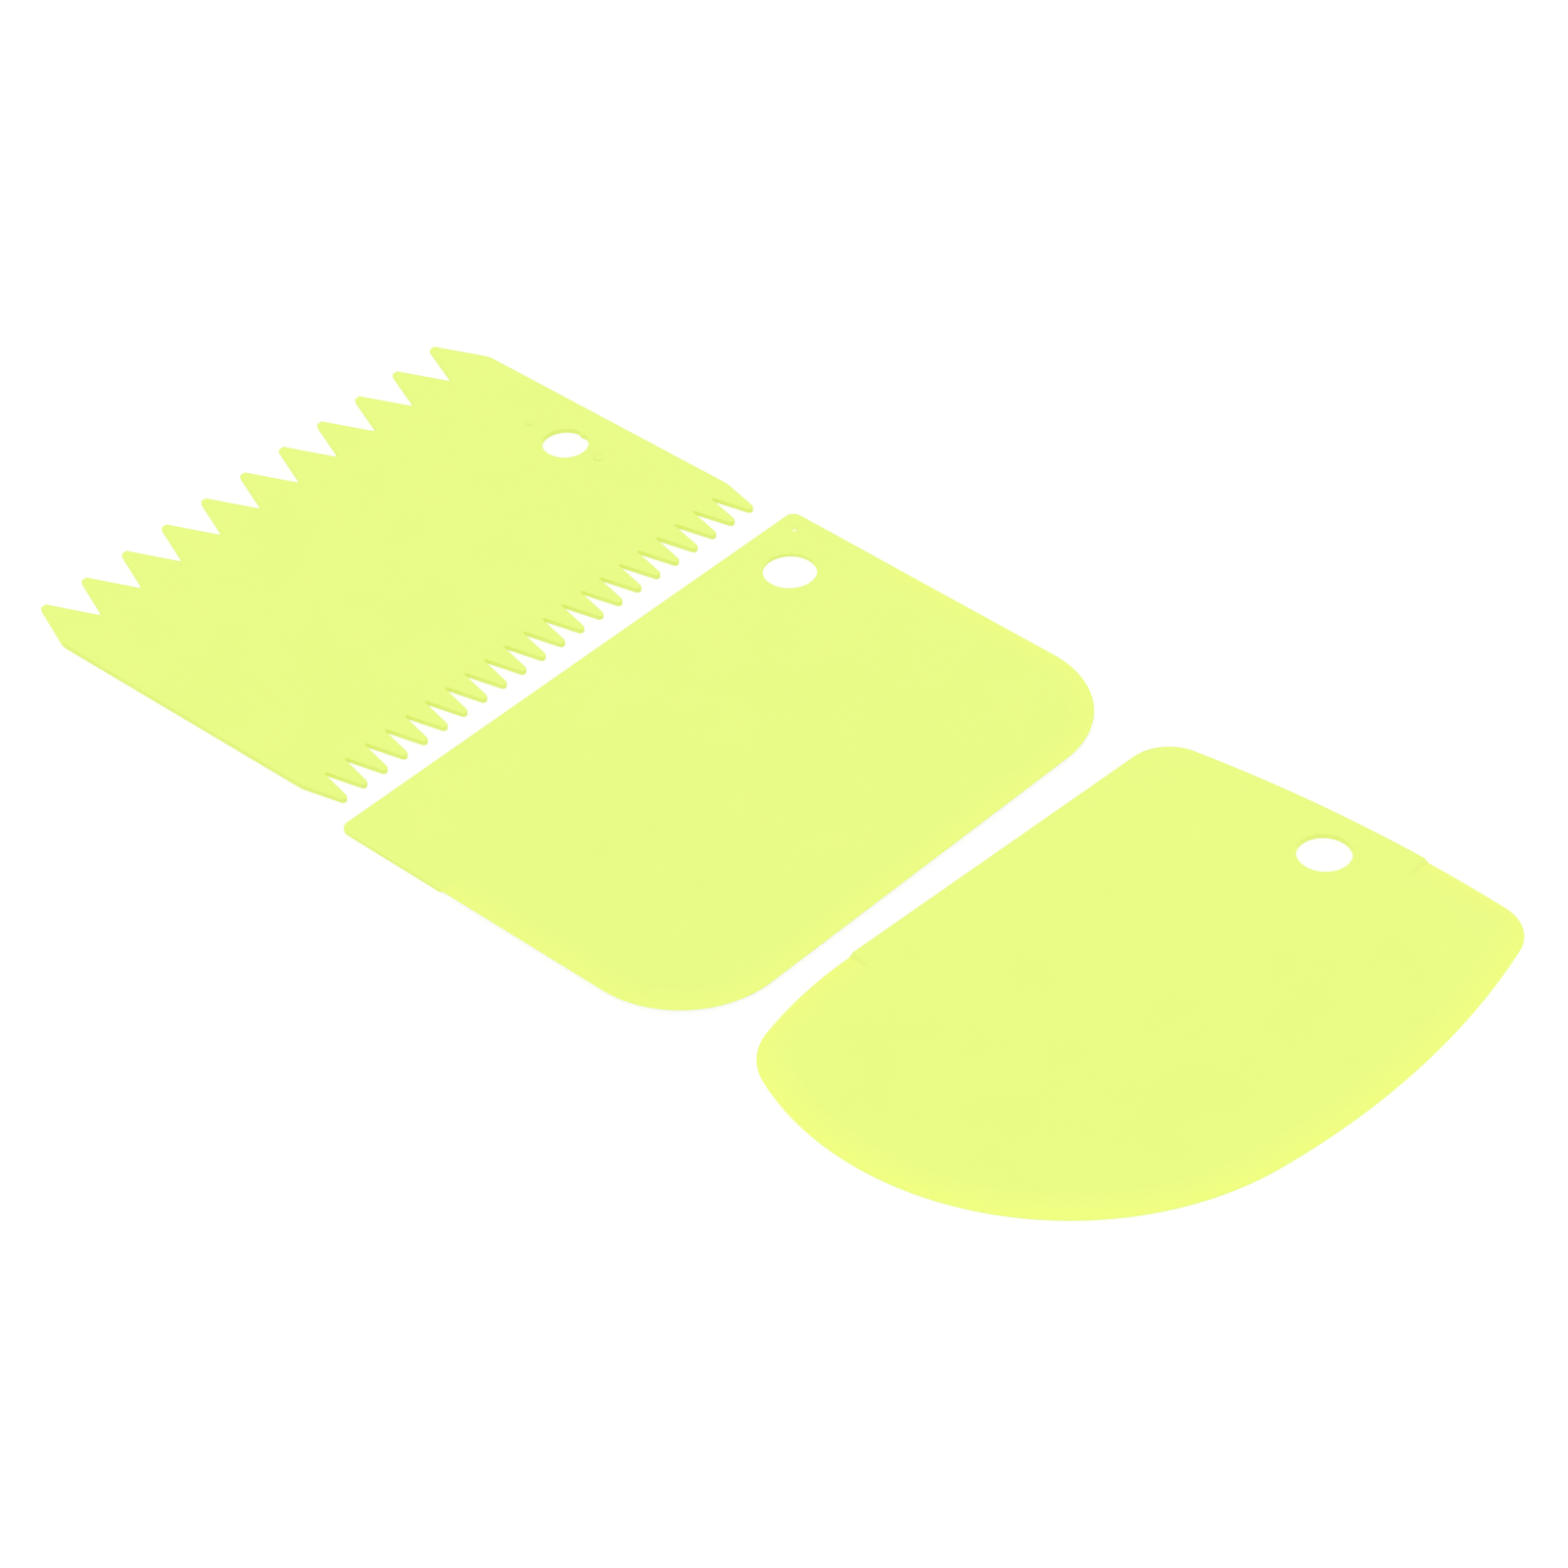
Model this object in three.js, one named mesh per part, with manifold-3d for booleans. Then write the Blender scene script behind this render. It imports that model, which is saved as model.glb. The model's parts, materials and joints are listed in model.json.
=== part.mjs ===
// Three loose moulded plastic cake scrapers lying flat in a row: a comb with two rows of teeth,
// a thin plate with a straight scraping edge, and a plate with a bowed scraping edge.
// Millimetres, +Z up. X runs along the row from the comb to the bowed plate, Y runs along the
// plates' long sides, and the origin is on the table under the middle of the row.

import * as THREE from 'three';
import { mergeVertices } from 'three/addons/utils/BufferGeometryUtils.js';
import Module from 'manifold-3d';

const wasm = await Module();
wasm.setup();

// Comb scraper: coarse teeth on its -X edge, fine teeth on its +X edge
const COMB_LENGTH = 110;
const COMB_WIDTH = 78.2;
const COMB_THICKNESS = 1;
const COMB_END_ROUND = 4;
const COMB_HOLE_DIAMETER = 8.6;
const COMB_HOLE_FROM_END = 10.2;
const COARSE_COUNT = 11;
const COARSE_DEPTH = 10.2;
const COARSE_TIP_WIDTH = 1.2;
const COARSE_TIP_ROUND = 0.15;
const COARSE_ROOT_ROUND = 0.4;
const FINE_COUNT = 22;
const FINE_DEPTH = 8.3;
const FINE_TIP_WIDTH = 1.1;
const FINE_TIP_ROUND = 0.7;
const FINE_ROOT_ROUND = 0.25;

// Straight scraper: square back on -X, scraping edge with large round corners on +X
const STRAIGHT_LENGTH = 115.4;
const STRAIGHT_WIDTH = 82;
const STRAIGHT_THICKNESS = 0.7;
const STRAIGHT_EDGE_CORNER = 19.8;
const STRAIGHT_BACK_CORNER = 1.9;
const STRAIGHT_LIP_THICKNESS = 0.2;
const STRAIGHT_LIP_WIDTH = 5.5;
const STRAIGHT_LIP_FROM_BACK = 24.5;
const STRAIGHT_HOLE_DIAMETER = 9.8;
const STRAIGHT_HOLE_FROM_BACK = 11.2;
const STRAIGHT_HOLE_FROM_END = 13.1;

// Bow scraper: straight back on -X, lopsided bow on +X, hole by its +Y end
const BOW_LENGTH = 119.7;
const BOW_WIDTH = 86.3;
const BOW_THICKNESS = 1.1;
const BOW_BELLY_RADIUS = 54.4;
const BOW_FRONT_RADIUS = 155;
const BOW_FRONT_START_DEG = -7.6;
const BOW_FLANK_RADIUS = 84;
const BOW_FLANK_LENGTH = 34.8;
const BOW_END_RADIUS = 279;
const BOW_END_CREST_FROM_BACK = 65.9;
const BOW_HEEL_CORNER = 12.5;
const BOW_TOE_CORNER = 8.8;
const BOW_BACK_CORNER = 8.5;
const BOW_LIP_THICKNESS = 0.5;
const BOW_LIP_WIDTH = 5.5;
const BOW_LIP_FROM_BACK = 53.4;
const BOW_HOLE_DIAMETER = 9.7;
const BOW_HOLE_FROM_BACK = 40.3;
const BOW_HOLE_FROM_END = 10.9;

// How the three lie beside each other on the table
const COMB_GAP = 5.16;
const COMB_SHIFT = 0.18;
const COMB_TURN_DEG = 0.84;
const BOW_GAP = 6.7;
const BOW_SHIFT = 0.24;
const BOW_TURN_DEG = -2.56;

// Facets: half the number on each rounded corner or arc, and the number round a hole
const TOOTH_FACETS = 2;
const PLATE_FACETS = 12;
const HOLE_FACETS = 48;

// How far a cutting block or drill stands clear of the plate that it cuts
const CUT_CLEARANCE = 5;

// The most of an edge's half length that a rounded corner may take up
const CORNER_SHARE = 0.98;

// Lime-yellow plastic
const COLOUR = '#e9fa88';
const ROUGHNESS = 0.45;

// A closed geometry as a solid that can be cut and joined
function solid(geometry) {
  geometry.deleteAttribute('normal');
  geometry.deleteAttribute('uv');
  const merged = mergeVertices(geometry);
  return new wasm.Manifold(new wasm.Mesh({
    numProp: 3,
    vertProperties: Float32Array.from(merged.attributes.position.array),
    triVerts: Uint32Array.from(merged.index.array),
  }));
}

// A closed outline through corners given as [x, y, radius], counter-clockwise.
// A corner's arc is limited to the room that its two edges leave.
function roundedOutline(corners) {
  const points = corners.map(([x, y]) => new THREE.Vector2(x, y));
  const outline = new THREE.Shape();
  points.forEach((corner, i) => {
    const back = points.at(i - 1).clone().sub(corner);
    const ahead = points[(i + 1) % points.length].clone().sub(corner);
    const room = Math.min(back.length(), ahead.length()) / 2;
    back.normalize();
    ahead.normalize();
    const halfAngle = Math.acos(back.dot(ahead)) / 2;
    const reach = Math.min(corners[i][2] / Math.tan(halfAngle), CORNER_SHARE * room);
    const radius = reach * Math.tan(halfAngle);
    const middle = back.clone().add(ahead).setLength(radius / Math.sin(halfAngle)).add(corner);
    const start = back.multiplyScalar(reach).add(corner).sub(middle);
    const end = ahead.multiplyScalar(reach).add(corner).sub(middle);
    const hollow = start.cross(end) < 0;
    outline.absarc(middle.x, middle.y, radius, start.angle(), end.angle(), hollow);
  });
  outline.closePath();
  return outline;
}

// A flat plate of the given outline, standing on the table
function plate(outline, thickness, curveSegments) {
  return solid(new THREE.ExtrudeGeometry(outline, { depth: thickness, bevelEnabled: false, curveSegments }));
}

// A rectangular block between two corners, standing on the table
function block(low, high, height) {
  const geometry = new THREE.BoxGeometry(high.x - low.x, high.y - low.y, height);
  geometry.translate((low.x + high.x) / 2, (low.y + high.y) / 2, height / 2);
  return solid(geometry);
}

// A plate whose whole rim tapers to a lip: the lip lies on the table, or level with the top
function taperedPlate(outline, { thickness, lipThickness, lipWidth, lipOnTop }) {
  const taper = thickness - lipThickness;
  const geometry = new THREE.ExtrudeGeometry(outline, {
    depth: lipThickness,
    bevelThickness: taper,
    bevelSize: lipWidth,
    bevelOffset: -lipWidth,
    bevelSegments: 1,
    curveSegments: PLATE_FACETS,
  });
  geometry.translate(0, 0, lipOnTop ? taper : 0);
  const { min, max } = new THREE.Box2().setFromPoints(outline.getPoints());
  min.addScalar(-CUT_CLEARANCE);
  max.addScalar(CUT_CLEARANCE);
  return solid(geometry).intersect(block(min, max, thickness));
}

// A plate with a round hole through it
function drilled(body, x, y, diameter, thickness) {
  const radius = diameter / 2;
  const drill = new THREE.CylinderGeometry(radius, radius, thickness + 2 * CUT_CLEARANCE, HOLE_FACETS);
  drill.rotateX(Math.PI / 2);
  drill.translate(x, y, thickness / 2);
  return body.subtract(solid(drill));
}

// A finished scraper as a named mesh of matt moulded plastic
function scraper(name, body) {
  const { vertProperties, triVerts } = body.getMesh();
  const geometry = new THREE.BufferGeometry();
  geometry.setAttribute('position', new THREE.BufferAttribute(vertProperties, 3));
  geometry.setIndex(new THREE.BufferAttribute(triVerts, 1));
  geometry.computeVertexNormals();
  const material = new THREE.MeshStandardMaterial({ color: COLOUR, roughness: ROUGHNESS, metalness: 0 });
  const mesh = new THREE.Mesh(geometry, material);
  mesh.name = name;
  return mesh;
}

// One row of teeth along a comb's edge, as corners from the first tooth to the last.
// Side is -1 or 1 for the -X or +X edge, and the corners run counter-clockwise round the comb.
function toothRow(side, { count, depth, tipWidth, tipRound, rootRound }) {
  const pitch = COMB_LENGTH / count;
  const tipX = side * COMB_WIDTH / 2;
  const rootX = tipX - side * depth;
  const corners = [];
  for (let i = 0; i < count; i += 1) {
    const tipY = side * (pitch * (i + 0.5) - COMB_LENGTH / 2);
    if (i > 0) {
      corners.push([rootX, tipY - side * pitch / 2, rootRound]);
    }
    corners.push([tipX, tipY - side * tipWidth / 2, tipRound]);
    corners.push([tipX, tipY + side * tipWidth / 2, tipRound]);
  }
  return corners;
}

// The comb scraper: a plain plate whose end teeth run straight into its short ends
function combScraper() {
  const halfLength = COMB_LENGTH / 2;
  const coarseRootX = COARSE_DEPTH - COMB_WIDTH / 2;
  const fineRootX = COMB_WIDTH / 2 - FINE_DEPTH;
  const outline = roundedOutline([
    [coarseRootX, -halfLength, COMB_END_ROUND],
    [fineRootX, -halfLength, COMB_END_ROUND],
    ...toothRow(1, {
      count: FINE_COUNT,
      depth: FINE_DEPTH,
      tipWidth: FINE_TIP_WIDTH,
      tipRound: FINE_TIP_ROUND,
      rootRound: FINE_ROOT_ROUND,
    }),
    [fineRootX, halfLength, COMB_END_ROUND],
    [coarseRootX, halfLength, COMB_END_ROUND],
    ...toothRow(-1, {
      count: COARSE_COUNT,
      depth: COARSE_DEPTH,
      tipWidth: COARSE_TIP_WIDTH,
      tipRound: COARSE_TIP_ROUND,
      rootRound: COARSE_ROOT_ROUND,
    }),
  ]);
  const body = plate(outline, COMB_THICKNESS, TOOTH_FACETS);
  const holeY = halfLength - COMB_HOLE_FROM_END;
  return scraper('comb_scraper', drilled(body, 0, holeY, COMB_HOLE_DIAMETER, COMB_THICKNESS));
}

// The straight scraper: its lip is level with the top, and stops short of the plain back
function straightScraper() {
  const halfWidth = STRAIGHT_WIDTH / 2;
  const halfLength = STRAIGHT_LENGTH / 2;
  const outlineWithBackCorner = (backCorner) => roundedOutline([
    [-halfWidth, -halfLength, backCorner],
    [halfWidth, -halfLength, STRAIGHT_EDGE_CORNER],
    [halfWidth, halfLength, STRAIGHT_EDGE_CORNER],
    [-halfWidth, halfLength, backCorner],
  ]);
  const backZone = block(
    new THREE.Vector2(-halfWidth - CUT_CLEARANCE, -halfLength - CUT_CLEARANCE),
    new THREE.Vector2(STRAIGHT_LIP_FROM_BACK - halfWidth, halfLength + CUT_CLEARANCE),
    STRAIGHT_THICKNESS,
  );
  const plain = plate(outlineWithBackCorner(STRAIGHT_BACK_CORNER), STRAIGHT_THICKNESS, PLATE_FACETS);
  const lipped = taperedPlate(outlineWithBackCorner(STRAIGHT_EDGE_CORNER), {
    thickness: STRAIGHT_THICKNESS,
    lipThickness: STRAIGHT_LIP_THICKNESS,
    lipWidth: STRAIGHT_LIP_WIDTH,
    lipOnTop: true,
  });
  const holeX = STRAIGHT_HOLE_FROM_BACK - halfWidth;
  const holeY = halfLength - STRAIGHT_HOLE_FROM_END;
  const whole = lipped.add(plain.intersect(backZone));
  const body = drilled(whole, holeX, holeY, STRAIGHT_HOLE_DIAMETER, STRAIGHT_THICKNESS);
  return scraper('straight_scraper', body);
}

// The crossing of two circles that lies to the left of the way from the first centre to the second
function circleCrossing(first, firstRadius, second, secondRadius) {
  const way = second.clone().sub(first);
  const gap = way.length();
  const along = (gap ** 2 + firstRadius ** 2 - secondRadius ** 2) / (2 * gap);
  const aside = Math.sqrt(firstRadius ** 2 - along ** 2);
  way.normalize();
  const left = new THREE.Vector2(-way.y, way.x);
  return first.clone().addScaledVector(way, along).addScaledVector(left, aside);
}

// The direction from a circle's centre to a point
function directionTo(centre, point) {
  return point.clone().sub(centre).angle();
}

// The bow scraper's outline: arcs that pass smoothly into each other, closed by the straight back.
// Each corner's small arc touches the two large arcs, or the large arc and the back, beside it.
function bowOutline() {
  const halfLength = BOW_LENGTH / 2;
  const frontStart = THREE.MathUtils.degToRad(BOW_FRONT_START_DEG);
  const front = new THREE.Vector2(BOW_WIDTH - BOW_FRONT_RADIUS, 0);
  const bellyToFront = BOW_FRONT_RADIUS - BOW_BELLY_RADIUS;
  const bellyX = front.x + bellyToFront * Math.cos(frontStart);
  const belly = new THREE.Vector2(bellyX, BOW_BELLY_RADIUS - halfLength);
  front.y = belly.y - bellyToFront * Math.sin(frontStart);
  const flank = new THREE.Vector2(BOW_FLANK_RADIUS, BOW_FLANK_LENGTH - halfLength);
  const end = new THREE.Vector2(BOW_END_CREST_FROM_BACK, halfLength - BOW_END_RADIUS);
  const heel = circleCrossing(
    flank, BOW_FLANK_RADIUS - BOW_HEEL_CORNER, belly, BOW_BELLY_RADIUS - BOW_HEEL_CORNER);
  const toe = circleCrossing(
    front, BOW_FRONT_RADIUS - BOW_TOE_CORNER, end, BOW_END_RADIUS - BOW_TOE_CORNER);
  const endToCorner = BOW_END_RADIUS - BOW_BACK_CORNER;
  const cornerAside = end.x - BOW_BACK_CORNER;
  const cornerRise = Math.sqrt(endToCorner ** 2 - cornerAside ** 2);
  const corner = new THREE.Vector2(BOW_BACK_CORNER, end.y + cornerRise);
  const arcs = [
    [flank, BOW_FLANK_RADIUS, Math.PI],
    [heel, BOW_HEEL_CORNER, directionTo(flank, heel)],
    [belly, BOW_BELLY_RADIUS, directionTo(belly, heel)],
    [front, BOW_FRONT_RADIUS, frontStart],
    [toe, BOW_TOE_CORNER, directionTo(front, toe)],
    [end, BOW_END_RADIUS, directionTo(end, toe)],
    [corner, BOW_BACK_CORNER, directionTo(end, corner)],
  ];
  const outline = new THREE.Shape();
  arcs.forEach(([centre, radius, start], i) => {
    const stop = arcs[(i + 1) % arcs.length][2];
    outline.absarc(centre.x, centre.y, radius, start, stop, false);
  });
  outline.closePath();
  return outline;
}

// The bow scraper: its lip lies on the table, and stops short of the back and the hole
function bowScraper() {
  const halfLength = BOW_LENGTH / 2;
  const outline = bowOutline();
  const backZone = block(
    new THREE.Vector2(-CUT_CLEARANCE, BOW_FLANK_LENGTH - halfLength),
    new THREE.Vector2(BOW_LIP_FROM_BACK, halfLength + CUT_CLEARANCE),
    BOW_THICKNESS,
  );
  const plain = plate(outline, BOW_THICKNESS, PLATE_FACETS);
  const lipped = taperedPlate(outline, {
    thickness: BOW_THICKNESS,
    lipThickness: BOW_LIP_THICKNESS,
    lipWidth: BOW_LIP_WIDTH,
    lipOnTop: false,
  });
  const holeY = halfLength - BOW_HOLE_FROM_END;
  const whole = lipped.add(plain.intersect(backZone));
  const body = drilled(whole, BOW_HOLE_FROM_BACK, holeY, BOW_HOLE_DIAMETER, BOW_THICKNESS);
  return scraper('bow_scraper', body);
}

// The set as it lies: the comb behind the straight scraper's back, the bow before its edge
const comb = combScraper();
comb.position.set(-STRAIGHT_WIDTH / 2 - COMB_GAP - COMB_WIDTH / 2, COMB_SHIFT, 0);
comb.rotation.z = THREE.MathUtils.degToRad(COMB_TURN_DEG);

const straight = straightScraper();

const bow = bowScraper();
bow.position.set(STRAIGHT_WIDTH / 2 + BOW_GAP, BOW_SHIFT, 0);
bow.rotation.z = THREE.MathUtils.degToRad(BOW_TURN_DEG);

const scraperSet = new THREE.Group();
scraperSet.add(comb, straight, bow);
const middle = new THREE.Box3().setFromObject(scraperSet, true).getCenter(new THREE.Vector3());
scraperSet.position.set(-middle.x, -middle.y, 0);

export default scraperSet;
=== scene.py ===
# A set of three loose cake scrapers, each one moulded plate of lime-yellow plastic, lying side by side.
# A plate is drawn in millimetres in its own frame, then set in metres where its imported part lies.
import json
from collections import namedtuple
from math import ceil, cos, pi, radians, sin, sqrt, tan, tau

import bmesh
import bpy
from mathutils import Matrix, Vector


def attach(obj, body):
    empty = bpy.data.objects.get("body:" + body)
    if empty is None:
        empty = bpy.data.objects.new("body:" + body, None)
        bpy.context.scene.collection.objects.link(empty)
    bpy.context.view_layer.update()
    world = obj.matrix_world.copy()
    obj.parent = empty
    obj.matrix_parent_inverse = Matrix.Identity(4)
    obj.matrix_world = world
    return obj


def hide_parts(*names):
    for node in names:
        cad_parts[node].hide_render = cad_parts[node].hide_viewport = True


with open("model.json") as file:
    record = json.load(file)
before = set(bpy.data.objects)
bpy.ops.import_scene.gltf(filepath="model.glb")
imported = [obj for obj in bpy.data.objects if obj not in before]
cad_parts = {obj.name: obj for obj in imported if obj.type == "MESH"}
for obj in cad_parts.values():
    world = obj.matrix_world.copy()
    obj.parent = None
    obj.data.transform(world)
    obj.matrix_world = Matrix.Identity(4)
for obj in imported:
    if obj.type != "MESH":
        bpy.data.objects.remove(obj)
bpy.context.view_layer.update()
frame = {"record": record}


# Comb scraper
# A plate with a row of coarse pointed teeth on one long edge and of fine round-tipped teeth on the other.
# It is moulded in one shot from soft polypropylene, dyed lime yellow. Two ejector pins left their rings
# beside the hanging hole, and the gate was cut off inside the hole.
comb_length = 110
comb_width = 78.2
comb_thickness = 1
comb_rim = 0.1
comb_end_round = 4
comb_turn = radians(0.84)
comb_hole_from_end = 10.2
comb_hole_radius = 4.3
coarse_depth = 10.2
fine_depth = 8.3
millimetre = Matrix.Scale(0.001, 4)
mounts = {mount["name"]: Vector(mount["pos_m"]) for mount in frame["record"]["mounts"]}

# The finest chord error of an arc, the share of an edge that a corner may take up, the steps of a full
# turn, and the distance at which points are one
arc_tolerance = 0.004
corner_share = 0.98
round_steps = 72
weld = 0.004

Arc = namedtuple("Arc", "centre start turn")


def arc_end(arc):
    return arc.centre + Matrix.Rotation(arc.turn, 3, "Z") @ (arc.start - arc.centre)


def rounded(corners):
    """The arcs that round off corners given as x, y and radius, counter-clockwise."""
    spots = [Vector((x, y, 0)) for x, y, _ in corners]
    arcs = []
    for i, spot in enumerate(spots):
        back = spots[i - 1] - spot
        ahead = spots[(i + 1) % len(spots)] - spot
        half_angle = back.angle(ahead) / 2
        room = min(back.length, ahead.length) / 2
        reach = min(corners[i][2] / tan(half_angle), corner_share * room)
        hollow = back.cross(ahead).z > 0
        back.normalize()
        ahead.normalize()
        centre = spot + (back + ahead).normalized() * reach / cos(half_angle)
        turn = pi - 2 * half_angle
        arcs.append(Arc(centre, spot + back * reach, -turn if hollow else turn))
    return arcs


def rim_section(thickness, rim):
    """An edge's cross-section as depths in from the edge and heights, with both rims rounded off."""
    facet = rim * (1 - sqrt(0.5))
    return [(rim, 0), (facet, facet), (0, rim),
            (0, thickness - rim), (facet, thickness - facet), (rim, thickness)]


def height(point):
    return point.co.z


def stand(bm, section, foot, outward):
    """Stands a cross-section on an outline, and gives its points from the lowest up."""
    points = [bm.verts.new(foot - outward * depth + Vector((0, 0, z))) for depth, z in section]
    for pair in zip(points, points[1:]):
        bm.edges.new(pair)
    return points


def chain(bm, points):
    """The edges that join a cross-section's points."""
    return [bm.edges.get(pair) for pair in zip(points, points[1:])]


def points_of(geometry):
    """The points among the elements that an operator made, from the lowest up."""
    return sorted([item for item in geometry if isinstance(item, bmesh.types.BMVert)], key=height)


def draw(bm, points, way):
    """Draws a cross-section straight along a way, and gives its points there."""
    drawn = points_of(bmesh.ops.extrude_edge_only(bm, edges=chain(bm, points))["geom"])
    bmesh.ops.translate(bm, verts=drawn, vec=way)
    return drawn


def carry(bm, points, at, arcs):
    """Carries a cross-section along an outline: straight on to each arc, then round its centre."""
    for arc in arcs:
        way = arc.start - at
        if way.length > weld:
            points = draw(bm, points, way)
        step = sqrt(8 * arc_tolerance / (arc.start - arc.centre).length)
        spun = bmesh.ops.spin(
            bm, geom=points + chain(bm, points), cent=arc.centre, axis=(0, 0, 1),
            angle=arc.turn, steps=ceil(abs(arc.turn) / step))
        points = points_of(spun["geom_last"])
        at = arc_end(arc)
    return points, at


def ring(bm, section, centre, radius):
    """Turns a cross-section full circle, as round a hole."""
    to_centre = Vector((-1, 0, 0))
    points = stand(bm, section, centre - to_centre * radius, to_centre)
    bmesh.ops.spin(
        bm, geom=points + chain(bm, points), cent=centre, axis=(0, 0, 1),
        angle=tau, steps=round_steps, use_merge=True)


def teeth(side, count, depth, tip_width, tip_round, root_round):
    """A row of teeth as corners, counter-clockwise; side is -1 or 1 for the -X or the +X edge."""
    pitch = comb_length / count
    tip_x = side * comb_width / 2
    root_x = tip_x - side * depth
    corners = []
    for i in range(count):
        tip_y = side * (pitch * (i + 0.5) - comb_length / 2)
        if i > 0:
            corners.append((root_x, tip_y - side * pitch / 2, root_round))
        corners.append((tip_x, tip_y - side * tip_width / 2, tip_round))
        corners.append((tip_x, tip_y + side * tip_width / 2, tip_round))
    return corners


def new_plate():
    """An empty mesh whose points carry a share of painted light, as on a thin lip, and whether they are in
    a scar.
    """
    bm = bmesh.new()
    bm.verts.layers.float.new("lip")
    bm.verts.layers.float.new("scar")
    return bm


comb_arcs = rounded([
    (coarse_depth - comb_width / 2, -comb_length / 2, comb_end_round),
    (comb_width / 2 - fine_depth, -comb_length / 2, comb_end_round),
    *teeth(1, count=22, depth=fine_depth, tip_width=1.1, tip_round=0.7, root_round=0.25),
    (comb_width / 2 - fine_depth, comb_length / 2, comb_end_round),
    (coarse_depth - comb_width / 2, comb_length / 2, comb_end_round),
    *teeth(-1, count=11, depth=coarse_depth, tip_width=1.2, tip_round=0.15, root_round=0.4),
])
comb_section = rim_section(comb_thickness, comb_rim)
comb_hole = Vector((0, comb_length / 2 - comb_hole_from_end, 0))
bm = new_plate()
first = comb_arcs[0]
points = stand(bm, comb_section, first.start, (first.start - first.centre).normalized())
points, at = carry(bm, points, first.start, comb_arcs)
draw(bm, points, first.start - at)
ring(bm, comb_section, comb_hole, comb_hole_radius)

# Where the gate was cut off, a low stub is left on the hole's wall, highest in its middle.
stub_angle = radians(84)
stub_reach = radians(15)
stub_height = 0.45
stub_way = Vector((cos(stub_angle), sin(stub_angle), 0))
for point in bm.verts:
    spoke = Vector((point.co.x, point.co.y, 0)) - comb_hole
    swing = spoke.angle(stub_way)
    if spoke.length < 2 * comb_hole_radius and swing < stub_reach:
        rise = stub_height * (1 - swing / stub_reach)
        bmesh.ops.translate(bm, verts=[point], vec=-spoke.normalized() * rise)

# Each ejector pin pressed a shallow round dimple into the soft plate and raised a burr round it.
pin_places = [Vector((7.7, 45.4, 0)), Vector((-9.2, 45.1, 0))]
pin_radius = 0.9
pin_depth = 0.08
burr_inside = 1.02
burr_outside = 1.1
burr_foot = 1.25
burr_height = 0.05
pin_floor = comb_thickness - pin_depth
burr_top = comb_thickness + burr_height
pin_section = [(0, pin_floor), (pin_radius, pin_floor), (burr_inside, burr_top), (burr_outside, burr_top),
               (burr_foot, comb_thickness)]
for pin in pin_places:
    ring(bm, pin_section, pin, 0)


def linear(hex_colour):
    """An sRGB hex colour as linear red, green, blue and alpha."""
    shares = [int(hex_colour[i:i + 2], 16) / 255 for i in (1, 3, 5)]
    return [s / 12.92 if s <= 0.04045 else ((s + 0.055) / 1.055) ** 2.4 for s in shares] + [1.0]


def add_node(tree, kind, inputs, **settings):
    """Adds a node with its settings; each input takes a value, or a link from another node's output."""
    node = tree.nodes.new(kind)
    for name, value in settings.items():
        setattr(node, name, value)
    for socket, value in inputs.items():
        if isinstance(value, bpy.types.NodeSocket):
            tree.links.new(value, node.inputs[socket])
        else:
            node.inputs[socket].default_value = value
    return node


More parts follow.
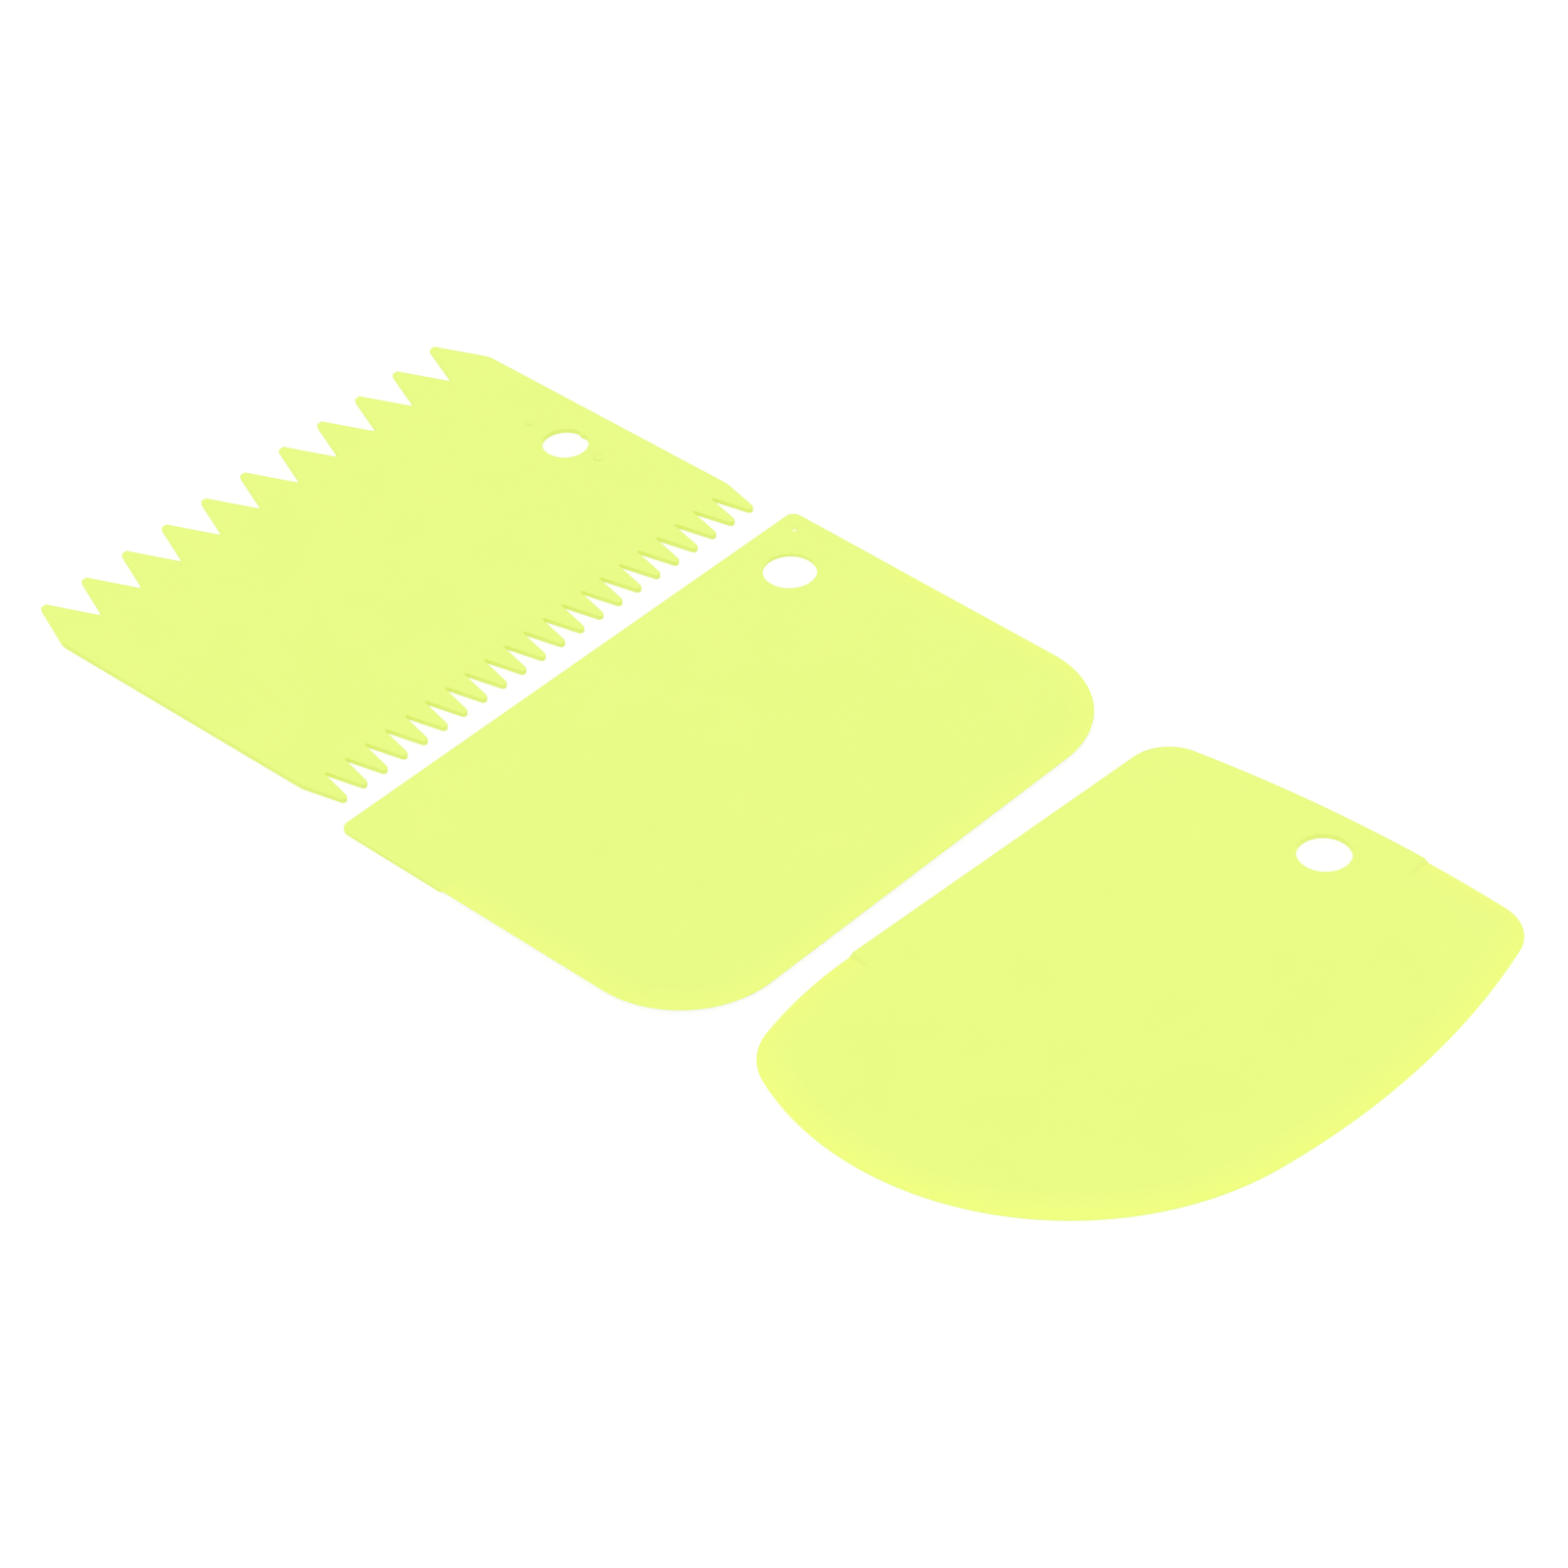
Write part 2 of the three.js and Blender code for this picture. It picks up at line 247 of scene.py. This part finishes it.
def lime_polypropylene():
    """Lime polypropylene from a finely spark-eroded mould: an even colour, a satin sheen, painted light on
    walls and lips.
    """
    cloud_size = 0.014
    grain_size = 0.0006
    grain_relief = 0.000004
    painted_wall_glow = 0.7
    painted_lip_glow = 0.13
    # A colour mix's sockets by number: its share, its two colours, and what comes out of it
    share, under, over, mixed = 0, 6, 7, 2
    material = bpy.data.materials.new("satin_moulded_lime_polypropylene")
    material.use_nodes = True
    tree = material.node_tree
    tree.nodes.clear()
    coordinates = add_node(tree, "ShaderNodeTexCoord", {}).outputs
    # Faint clouds, about 14 mm across, show how the melt flowed as it filled the mould.
    clouds = add_node(tree, "ShaderNodeTexNoise", {
        "Vector": coordinates["Object"], "Scale": 1 / cloud_size, "Detail": 3.0, "Roughness": 0.55})
    flow = add_node(tree, "ShaderNodeMix", {
        share: clouds.outputs["Fac"], under: linear("#E6F97B"), over: linear("#E9FB7F")}, data_type="RGBA")
    # Painted light: a thin lip lets more light through from the table, so its colour is painted a little
    # yellower.
    lip = add_node(tree, "ShaderNodeAttribute", {}, attribute_name="lip")
    painted_lip_light = add_node(tree, "ShaderNodeMix", {
        share: lip.outputs["Fac"], under: flow.outputs[mixed], over: linear("#F0FD78")}, data_type="RGBA")
    # Painted light and shade on the walls: steep faces get a darker painted base colour and a painted glow
    # of deeper lime, for light the dyed plate carries out to its walls, also in the gaps between teeth that
    # little light reaches; the glow is most at a thin lip.
    normal = add_node(tree, "ShaderNodeSeparateXYZ", {0: coordinates["Normal"]})
    level = add_node(tree, "ShaderNodeMath", {0: normal.outputs["Z"]}, operation="ABSOLUTE")
    steep = add_node(tree, "ShaderNodeMapRange", {
        "Value": level.outputs[0], "From Min": 0.8, "From Max": 0.3})
    painted_wall_shade = add_node(tree, "ShaderNodeMix", {
        share: steep.outputs["Result"], under: painted_lip_light.outputs[mixed], over: linear("#828D48")},
        data_type="RGBA")
    painted_glow_strength = add_node(tree, "ShaderNodeMath", {
        0: lip.outputs["Fac"], 1: painted_lip_glow, 2: painted_wall_glow}, operation="MULTIPLY_ADD")
    glow = add_node(tree, "ShaderNodeMath", {
        0: steep.outputs["Result"], 1: painted_glow_strength.outputs[0]}, operation="MULTIPLY")
    # A gate that was nipped off leaves a scar that is stretched white.
    scar = add_node(tree, "ShaderNodeAttribute", {}, attribute_name="scar")
    colour = add_node(tree, "ShaderNodeMix", {
        share: scar.outputs["Fac"], under: painted_wall_shade.outputs[mixed], over: linear("#F6FDB4")}, data_type="RGBA")
    # The mould's grain is about 0.05 mm across; it is drawn at 0.6 mm so that it shows.
    grain = add_node(tree, "ShaderNodeTexNoise", {
        "Vector": coordinates["Object"], "Scale": 1 / grain_size, "Detail": 2.0})
    sheen = add_node(tree, "ShaderNodeMapRange", {
        "Value": grain.outputs["Fac"], "To Min": 0.38, "To Max": 0.48})
    relief = add_node(tree, "ShaderNodeBump", {
        "Height": grain.outputs["Fac"], "Strength": 0.5, "Distance": grain_relief})
    # The emission is painted light: a glow on the walls, which are no lamp.
    moulded = add_node(tree, "ShaderNodeBsdfPrincipled", {
        "Base Color": colour.outputs[mixed], "Roughness": sheen.outputs["Result"], "IOR": 1.49,
        "Normal": relief.outputs["Normal"], "Emission Color": linear("#DAEB69"),
        "Emission Strength": glow.outputs[0]})
    add_node(tree, "ShaderNodeOutputMaterial", {"Surface": moulded.outputs["BSDF"]})
    return material


plastic = lime_polypropylene()


def moulded_plate(name, bm, thickness, place):
    """Closes a plate's two flat faces between its rims, and sets it in its place."""
    bmesh.ops.remove_doubles(bm, verts=bm.verts, dist=weld)
    for level in (0, thickness):
        rims = [e for e in bm.edges if e.is_boundary and all(abs(v.co.z - level) < weld for v in e.verts)]
        bmesh.ops.triangle_fill(bm, use_beauty=True, edges=rims, normal=(0, 0, 1))
    bmesh.ops.recalc_face_normals(bm, faces=bm.faces)
    bmesh.ops.transform(bm, matrix=place, verts=bm.verts)
    mesh = bpy.data.meshes.new(name)
    bm.to_mesh(mesh)
    bm.free()
    mesh.shade_smooth()
    mesh.materials.append(plastic)
    piece = bpy.data.objects.new(name, mesh)
    bpy.context.scene.collection.objects.link(piece)
    piece.modifiers.new("flat_faces_stay_flat", "WEIGHTED_NORMAL")
    return piece


comb_place = Matrix.Translation(mounts["comb_underside"]) @ Matrix.Rotation(comb_turn, 4, "Z") @ millimetre
comb = moulded_plate("comb_scraper_plate", bm, comb_thickness, comb_place)
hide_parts("comb_scraper")
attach(comb, "comb")


# Straight scraper
# A thin, bendy plate of the same plastic, with a straight scraping edge between two large round corners.
# Its underside tapers to a thin lip round that edge. The back is left plain, with a hanging hole.
straight_length = 115.4
straight_width = 82
straight_thickness = 0.7
straight_rim = 0.08
straight_edge_corner = 19.8
straight_back_corner = 1.9
straight_hole_from_back = 11.2
straight_hole_from_end = 13.1
straight_hole_radius = 4.9
straight_lip_from_back = 24.5
straight_lip_step = 0.8
straight_lip_thickness = 0.2
straight_lip_width = 5.5
straight_lip_sag = 0.02
straight_painted_lip_light = 0.5


def begin_lip(bm, points, along, inward, drops, glow):
    """Steps a plain section to a lip: rim points drop, and a slope runs inward from the last of them."""
    painted_light_share = bm.verts.layers.float["lip"]
    lip = draw(bm, points, along)
    slopes = []
    for tip, rim, drop in drops:
        bmesh.ops.translate(bm, verts=lip[rim], vec=drop)
        slope = bmesh.ops.extrude_vert_indiv(bm, verts=[lip[tip]])["verts"]
        bmesh.ops.translate(bm, verts=slope, vec=inward - drop)
        bmesh.ops.contextual_create(bm, geom=[points[tip], lip[tip], *slope])
        slopes += slope
    # The lip's points get a share of painted light, for its lighter yellow and its walls' painted glow.
    for point in lip:
        point[painted_light_share] = glow
    return sorted([*lip, *slopes], key=height)


def end_lip(bm, points, along, drops):
    """Steps a lip's section back to a plain one."""
    painted_light_share = bm.verts.layers.float["lip"]
    slopes = {tip: points[tip] for tip, _, _ in drops}
    lip = [point for point in points if point not in slopes.values()]
    plain = draw(bm, lip, along)
    for tip, rim, drop in drops:
        bmesh.ops.translate(bm, verts=plain[rim], vec=-drop)
        bmesh.ops.contextual_create(bm, geom=[plain[tip], lip[tip], slopes[tip]])
    # Plain points get no painted light.
    for point in plain:
        point[painted_light_share] = 0
    return plain


half_width = straight_width / 2
half_length = straight_length / 2
straight_arcs = rounded([
    (-half_width, -half_length, straight_back_corner),
    (half_width, -half_length, straight_edge_corner),
    (half_width, half_length, straight_edge_corner),
    (-half_width, half_length, straight_back_corner),
])
straight_section = rim_section(straight_thickness, straight_rim)
straight_hole = Vector((straight_hole_from_back - half_width, half_length - straight_hole_from_end, 0))
lower_rim = slice(0, 3)
upper_rim = slice(3, 6)
straight_drops = [
    (0, lower_rim, Vector((0, 0, straight_thickness - straight_lip_thickness))),
    (-1, upper_rim, Vector((0, 0, -straight_lip_sag))),
]
straight_inward = Vector((0, straight_lip_width - straight_rim, 0))
step_way = Vector((straight_lip_step, 0, 0))
near_step = Vector((straight_lip_from_back - half_width, -half_length, 0))
far_step = Vector((straight_lip_from_back - half_width, half_length, 0))
bm = new_plate()
first = straight_arcs[0]
points = stand(bm, straight_section, first.start, Vector((-1, 0, 0)))
points, at = carry(bm, points, first.start, straight_arcs[:1])
points = draw(bm, points, near_step - step_way / 2 - at)
points = begin_lip(bm, points, step_way, straight_inward, straight_drops, straight_painted_lip_light)
points, at = carry(bm, points, near_step + step_way / 2, straight_arcs[1:3])
points = draw(bm, points, far_step + step_way / 2 - at)
points = end_lip(bm, points, -step_way, straight_drops)
points, at = carry(bm, points, far_step - step_way / 2, straight_arcs[3:])
draw(bm, points, first.start - at)
ring(bm, straight_section, straight_hole, straight_hole_radius)

# The gate was nipped off beside a back corner, and left a small pale pip.
gate = Vector((-36.9, 53.7, 0))
gate_height = 0.1
gate_shoulder_radius = 0.4
gate_shoulder_height = 0.08
gate_foot_radius = 0.55
gate_section = [(0, straight_thickness + gate_height),
                (gate_shoulder_radius, straight_thickness + gate_shoulder_height),
                (gate_foot_radius, straight_thickness)]
ring(bm, gate_section, gate, 0)
scarred = bm.verts.layers.float["scar"]
for point in bm.verts:
    if point.co.z > straight_thickness + weld:
        point[scarred] = 1

straight_place = Matrix.Translation(mounts["straight_underside"]) @ millimetre
straight = moulded_plate("straight_scraper_plate", bm, straight_thickness, straight_place)
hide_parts("straight_scraper")
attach(straight, "straight")


# Bow scraper
# A lopsided D-shaped plate for bowls, of the same plastic, with a straight back and a bowed edge.
# Its top slopes down to a thin lip round the bowed edge, which runs out before the back and the hole.
bow_length = 119.7
bow_width = 86.3
bow_thickness = 1.1
bow_rim = 0.1
bow_turn = radians(-2.56)
bow_mount_from_back = 40
bow_hole_from_back = 40.3
bow_hole_from_end = 10.9
bow_hole_radius = 4.85
bow_lip_thickness = 0.5
bow_lip_width = 5.5
bow_lip_from_back = 53.4
bow_lip_step = 1
bow_painted_lip_light = 0.9
bow_painted_warm_light = 0.2
belly_radius = 54.4
front_radius = 155
front_start = radians(-7.6)
flank_radius = 84
flank_length = 34.8
end_radius = 279
end_crest_from_back = 65.9
heel_round = 12.5
toe_round = 8.8
back_round = 8.5


def crossing(first, first_radius, second, second_radius):
    """The crossing of two circles that lies to the left of the way from the first centre to the second."""
    way = second - first
    along = (way.length ** 2 + first_radius ** 2 - second_radius ** 2) / (2 * way.length)
    aside = sqrt(first_radius ** 2 - along ** 2)
    way.normalize()
    return first + way * along + Vector((-way.y, way.x, 0)) * aside


def arc_between(centre, radius, first_way, last_way):
    """A counter-clockwise arc between two directions from its centre."""
    return Arc(centre, centre + first_way.normalized() * radius, first_way.angle(last_way))


front_start_way = Vector((cos(front_start), sin(front_start), 0))
belly_to_front = front_start_way * (front_radius - belly_radius)
belly = Vector((bow_width - front_radius + belly_to_front.x, belly_radius - bow_length / 2, 0))
front = belly - belly_to_front
flank = Vector((flank_radius, flank_length - bow_length / 2, 0))
end = Vector((end_crest_from_back, bow_length / 2 - end_radius, 0))
heel = crossing(flank, flank_radius - heel_round, belly, belly_radius - heel_round)
toe = crossing(front, front_radius - toe_round, end, end_radius - toe_round)
corner_rise = sqrt((end_radius - back_round) ** 2 - (end.x - back_round) ** 2)
corner = Vector((back_round, end.y + corner_rise, 0))
to_back = Vector((-1, 0, 0))


def end_way(from_back):
    """The direction from the end arc's centre to its point at a distance from the back."""
    return Vector((from_back - end.x, sqrt(end_radius ** 2 - (from_back - end.x) ** 2), 0))


lip_arcs = [
    arc_between(flank, flank_radius, to_back, heel - flank),
    arc_between(heel, heel_round, heel - flank, heel - belly),
    arc_between(belly, belly_radius, heel - belly, front_start_way),
    arc_between(front, front_radius, front_start_way, toe - front),
    arc_between(toe, toe_round, toe - front, toe - end),
    arc_between(end, end_radius, toe - end, end_way(bow_lip_from_back + bow_lip_step)),
]
plain_arcs = [
    arc_between(end, end_radius, end_way(bow_lip_from_back), corner - end),
    arc_between(corner, back_round, corner - end, to_back),
]
bow_section = rim_section(bow_thickness, bow_rim)
bow_hole = Vector((bow_hole_from_back, bow_length / 2 - bow_hole_from_end, 0))
bow_drops = [(-1, upper_rim, Vector((0, 0, bow_lip_thickness - bow_thickness)))]
bow_inward = Vector((bow_lip_width - bow_rim, 0, 0))
step_way = Vector((0, -bow_lip_step, 0))
back_top = Vector((0, corner.y, 0))
back_foot = lip_arcs[0].start
bm = new_plate()
points = stand(bm, bow_section, back_top, to_back)
points = draw(bm, points, back_foot - step_way - back_top)
points = begin_lip(bm, points, step_way, bow_inward, bow_drops, bow_painted_lip_light)
points, at = carry(bm, points, back_foot, lip_arcs)
points = end_lip(bm, points, plain_arcs[0].start - at, bow_drops)
carry(bm, points, plain_arcs[0].start, plain_arcs)
ring(bm, bow_section, bow_hole, bow_hole_radius)

# Painted light: the whole plate is painted a touch yellower than the other two, for warmer light falling on
# it.
painted_light_share = bm.verts.layers.float["lip"]
for point in bm.verts:
    point[painted_light_share] = max(point[painted_light_share], bow_painted_warm_light)

bow_place = (Matrix.Translation(mounts["bow_underside"]) @ Matrix.Rotation(bow_turn, 4, "Z") @ millimetre
             @ Matrix.Translation((-bow_mount_from_back, 0, 0)))
bow = moulded_plate("bow_scraper_plate", bm, bow_thickness, bow_place)
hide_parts("bow_scraper")
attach(bow, "bow")


# Table
# A plain sheet of matt white card under the scrapers, large enough to fill every view.
# It lies a hair below their undersides, so that the two faces never share one level.
table_size = 6
table_drop = 0.00005


def white_card():
    """Matt white card; the camera sees it burnt out to white, with a light shadow left."""
    burnt_share = 0.82
    burnt_level = 1.02
    material = bpy.data.materials.new("matt_white_card")
    material.use_nodes = True
    tree = material.node_tree
    tree.nodes.clear()
    ray = add_node(tree, "ShaderNodeLightPath", {}).outputs
    burnt_out = add_node(tree, "ShaderNodeMath", {
        0: ray["Is Camera Ray"], 1: burnt_share}, operation="MULTIPLY")
    card = add_node(tree, "ShaderNodeBsdfDiffuse", {"Color": linear("#FDFDFD")})
    glow = add_node(tree, "ShaderNodeEmission", {"Strength": burnt_level})
    both = add_node(tree, "ShaderNodeMixShader", {
        0: burnt_out.outputs[0], 1: card.outputs["BSDF"], 2: glow.outputs["Emission"]})
    add_node(tree, "ShaderNodeOutputMaterial", {"Surface": both.outputs["Shader"]})
    return material


bm = bmesh.new()
bmesh.ops.create_grid(bm, x_segments=1, y_segments=1, size=table_size / 2)
bmesh.ops.translate(bm, verts=bm.verts, vec=(0, 0, -table_drop))
table_mesh = bpy.data.meshes.new("white_table")
bm.to_mesh(table_mesh)
bm.free()
table_mesh.materials.append(white_card())
table = bpy.data.objects.new("white_table", table_mesh)
bpy.context.scene.collection.objects.link(table)


# Light
# An even white studio: light from all round, and one broad soft lamp over the camera's left shoulder.
# Together they light a level surface so that a colour renders as it is written.
room_light = 0.82
lamp_light = (1 - room_light) * pi
lamp_tilt = radians(30)
lamp_turn = radians(25)
lamp_spread = radians(40)

world = bpy.data.worlds.new("white_studio")
bpy.context.scene.world = world
world.use_nodes = True
tree = world.node_tree
tree.nodes.clear()
ray = add_node(tree, "ShaderNodeLightPath", {}).outputs
direct = add_node(tree, "ShaderNodeMath", {
    0: ray["Is Camera Ray"], 1: ray["Is Glossy Ray"]}, operation="MAXIMUM")
seen = add_node(tree, "ShaderNodeMath", {
    0: direct.outputs[0], 1: ray["Is Transmission Ray"]}, operation="MAXIMUM")
level = add_node(tree, "ShaderNodeMapRange", {
    "Value": seen.outputs[0], "To Min": room_light, "To Max": 1.0})
white = add_node(tree, "ShaderNodeBackground", {
    "Color": linear("#FFFFFF"), "Strength": level.outputs["Result"]})
add_node(tree, "ShaderNodeOutputWorld", {"Surface": white.outputs["Background"]})

lamp_data = bpy.data.lights.new("broad_lamp", "SUN")
lamp_data.energy = lamp_light / cos(lamp_tilt)
lamp_data.angle = lamp_spread
lamp = bpy.data.objects.new("broad_lamp", lamp_data)
lamp.rotation_euler = (lamp_tilt, 0, lamp_turn)
bpy.context.scene.collection.objects.link(lamp)


# Camera
# A long lens looks down at the set over its near corner, from about a metre away.
# Its place, tilt and slight roll are those at which the plates' outlines are seen as photographed.
aim = Vector((0.003566, 0.002913, 0))
distance = 1.07651
azimuth = radians(43.307)
elevation = radians(40.792)
roll = radians(-1.4966)
lens = 143.5
sensor_width = 36

camera_data = bpy.data.cameras.new("camera")
camera_data.lens = lens
camera_data.sensor_width = sensor_width
camera = bpy.data.objects.new("camera", camera_data)
turned = Matrix.Rotation(azimuth, 4, "Z") @ Matrix.Rotation(pi / 2 - elevation, 4, "X")
back = turned.to_3x3() @ Vector((0, 0, 1))
camera.matrix_world = Matrix.Translation(aim + back * distance) @ turned @ Matrix.Rotation(roll, 4, "Z")
bpy.context.scene.collection.objects.link(camera)
bpy.context.scene.camera = camera
bpy.context.scene.view_settings.view_transform = "Standard"
